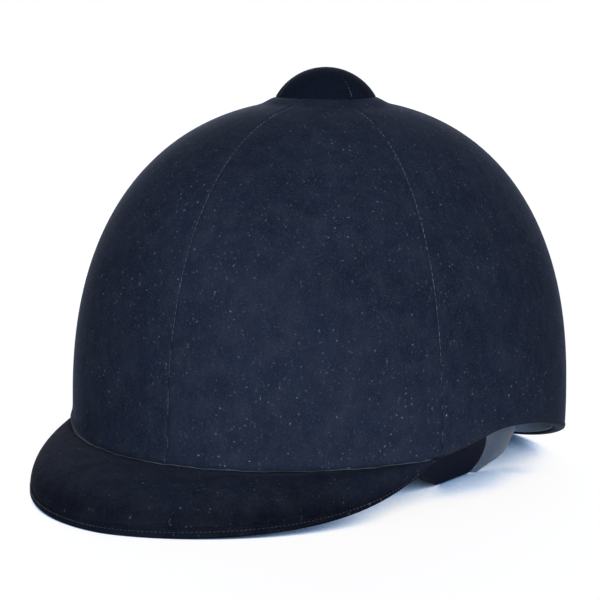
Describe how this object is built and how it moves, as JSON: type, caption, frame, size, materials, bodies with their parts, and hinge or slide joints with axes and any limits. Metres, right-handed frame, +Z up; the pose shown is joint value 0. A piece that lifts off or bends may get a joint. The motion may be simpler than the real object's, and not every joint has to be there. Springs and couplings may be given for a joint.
{
  "type": "riding helmet",
  "caption": "Velvet riding helmet with a gored crown, covered peak, top button, foam-lined hard shell and an unbuckled chin harness lying folded inside.",
  "frame": {"origin": "middle of the overall box at the table, on which the peak's edge, the nape rim and the folded harness rest", "axes": "+Y from the peak towards the nape, +X towards the wearer's left, +Z up"},
  "size_m": [0.2154, 0.3024, 0.1805],
  "materials": {
    "velvet": "deep navy-black velvet pile, soft sheen",
    "velvet_tape": "velvet bias tape",
    "under_cloth": "smooth dark lining cloth",
    "webbing": "ribbed grey polyester webbing",
    "cheek_leather": "smooth black leather, low gloss",
    "sweat_leather": "soft perforated sweatband leather",
    "pad_cloth": "brushed pad cloth",
    "shell_plastic": "moulded shell",
    "peak_plastic": "flexible moulded peak",
    "impact_foam": "black expanded foam beads",
    "core_plastic": "turned button core",
    "buckle_plastic": "fine grained black acetal",
    "steel": "plated steel"
  },
  "bodies": {
    "helmet": {"panel_front_left": "velvet", "panel_side_left": "velvet", "panel_rear_left": "velvet", "panel_rear_right": "velvet", "panel_side_right": "velvet", "panel_front_right": "velvet", "rim_binding": "velvet_tape", "button_cover": "velvet", "button_core": "core_plastic", "button_screw": "steel", "button_washer": "steel", "peak_core": "peak_plastic", "peak_top_cover": "velvet", "peak_under_cover": "under_cloth", "peak_edge_binding": "velvet_tape", "peak_rivets": "steel", "outer_shell": "shell_plastic", "impact_liner": "impact_foam", "headband": "sweat_leather", "crown_pad": "pad_cloth", "brow_pad": "pad_cloth", "nape_pad": "pad_cloth", "side_pad_left": "pad_cloth", "side_pad_right": "pad_cloth", "nape_strap": "webbing", "anchor_front_left": "steel", "anchor_rear_left": "steel", "anchor_front_right": "steel", "anchor_rear_right": "steel", "anchor_rivets": "steel"},
    "harness_left": {"cheek_piece_left": "cheek_leather", "rear_web_left": "webbing"},
    "chin_left": {"cheek_tab_left": "cheek_leather", "chin_rivet_left": "steel", "chin_strap_left": "webbing", "chin_pad": "cheek_leather", "buckle_socket": "buckle_plastic"},
    "harness_right": {"cheek_piece_right": "cheek_leather", "rear_web_right": "webbing"},
    "chin_right": {"cheek_tab_right": "cheek_leather", "chin_rivet_right": "steel", "chin_strap_right": "webbing", "strap_tail": "webbing", "buckle_plug": "buckle_plastic"},
    "keeper": {"strap_keeper": "cheek_leather"},
    "prong_front": {"buckle_prong_front": "buckle_plastic"},
    "prong_rear": {"buckle_prong_rear": "buckle_plastic"}
  },
  "joints": [
    {"name": "harness_left_swing", "type": "hinge", "parent": "helmet", "child": "harness_left", "pos_m": [0.088, 0.0145, 0.034], "axis": [0, -1, 0], "range_deg": [-24, 30]},
    {"name": "chin_left_fold", "type": "hinge", "parent": "harness_left", "child": "chin_left", "pos_m": [0.069, 0.0265, 0.0012], "axis": [0, -1, 0], "range_deg": [-15, 57]},
    {"name": "harness_right_swing", "type": "hinge", "parent": "helmet", "child": "harness_right", "pos_m": [-0.088, 0.0145, 0.034], "axis": [0, 1, 0], "range_deg": [-24, 30]},
    {"name": "chin_right_fold", "type": "hinge", "parent": "harness_right", "child": "chin_right", "pos_m": [-0.069, 0.0265, 0.0012], "axis": [0, 1, 0], "range_deg": [-15, 57]},
    {"name": "keeper_slide", "type": "slide", "parent": "chin_right", "child": "keeper", "axis": [0.9613, 0.2756, 0], "range_m": [-0.014, 0.01]},
    {"name": "prong_front_squeeze", "type": "hinge", "parent": "chin_right", "child": "prong_front", "pos_m": [0.03061, 0.04134, 0.0042], "axis": [0, 0, 1], "range_deg": [0, 8], "stiffness_Nm_per_rad": 0.05},
    {"name": "prong_rear_squeeze", "type": "hinge", "parent": "chin_right", "child": "prong_rear", "pos_m": [0.02592, 0.05769, 0.0042], "axis": [0, 0, -1], "range_deg": [0, 8], "stiffness_Nm_per_rad": 0.05}
  ],
  "couplings": [
    {"joint": "prong_rear_squeeze", "follows": "prong_front_squeeze", "ratio": 1}
  ]
}
